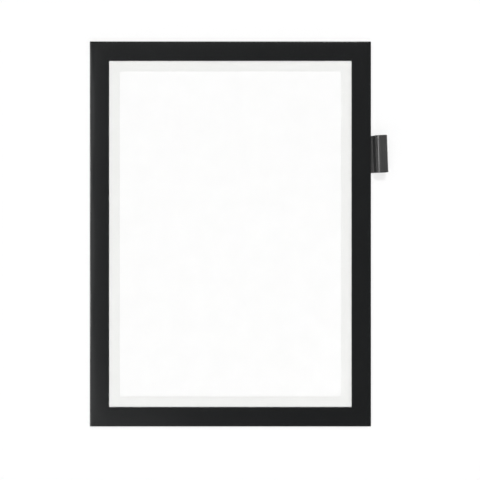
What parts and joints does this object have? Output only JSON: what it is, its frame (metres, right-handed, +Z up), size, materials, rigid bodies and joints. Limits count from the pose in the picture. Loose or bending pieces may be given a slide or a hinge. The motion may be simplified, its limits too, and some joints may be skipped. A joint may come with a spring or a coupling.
{
  "type": "magnetic document frame",
  "caption": "Flat black document frame for an A4 sheet, with a clear lip round an open writing window, a magnetic front that folds open on a film hinge, and a pen loop.",
  "frame": {"origin": "middle of the frame's back face, on the wall or board that holds it", "axes": "+X to the viewer's right, +Z up, +Y into the wall, so the front faces -Y"},
  "size_m": [0.2499, 0.0105, 0.323],
  "materials": {
    "clear_film": "clear smooth film, 0.2 mm",
    "black_film": "satin black vinyl film with a fine grain",
    "magnet_rubber": "matt brown-black ferrite rubber strip",
    "adhesive_tape": "thin milky transfer tape",
    "white_paper": "uncoated white office paper",
    "holder_plastic": "satin dark grey soft vinyl extrusion"
  },
  "bodies": {
    "back_half": {"back_film": "clear_film", "back_tape": "adhesive_tape", "back_magnet_top": "magnet_rubber", "back_magnet_bottom": "magnet_rubber", "back_magnet_left": "magnet_rubber", "back_magnet_right_upper": "magnet_rubber", "back_magnet_right_lower": "magnet_rubber", "insert_sheet": "white_paper", "pen_holder": "holder_plastic", "pen_holder_tape": "adhesive_tape", "hinge_film": "black_film"},
    "front_frame": {"front_film": "clear_film", "front_border": "black_film", "front_tape": "adhesive_tape", "front_magnet_top": "magnet_rubber", "front_magnet_bottom": "magnet_rubber", "front_magnet_left": "magnet_rubber", "front_magnet_right": "magnet_rubber"}
  },
  "joints": [
    {"name": "front_frame_hinge", "type": "hinge", "parent": "back_half", "child": "front_frame", "pos_m": [-0.118, -0.00095, 0], "axis": [0, 0, -1], "range_deg": [0, 170], "stiffness_Nm_per_rad": 0.01, "deforming": ["hinge_film"]}
  ]
}
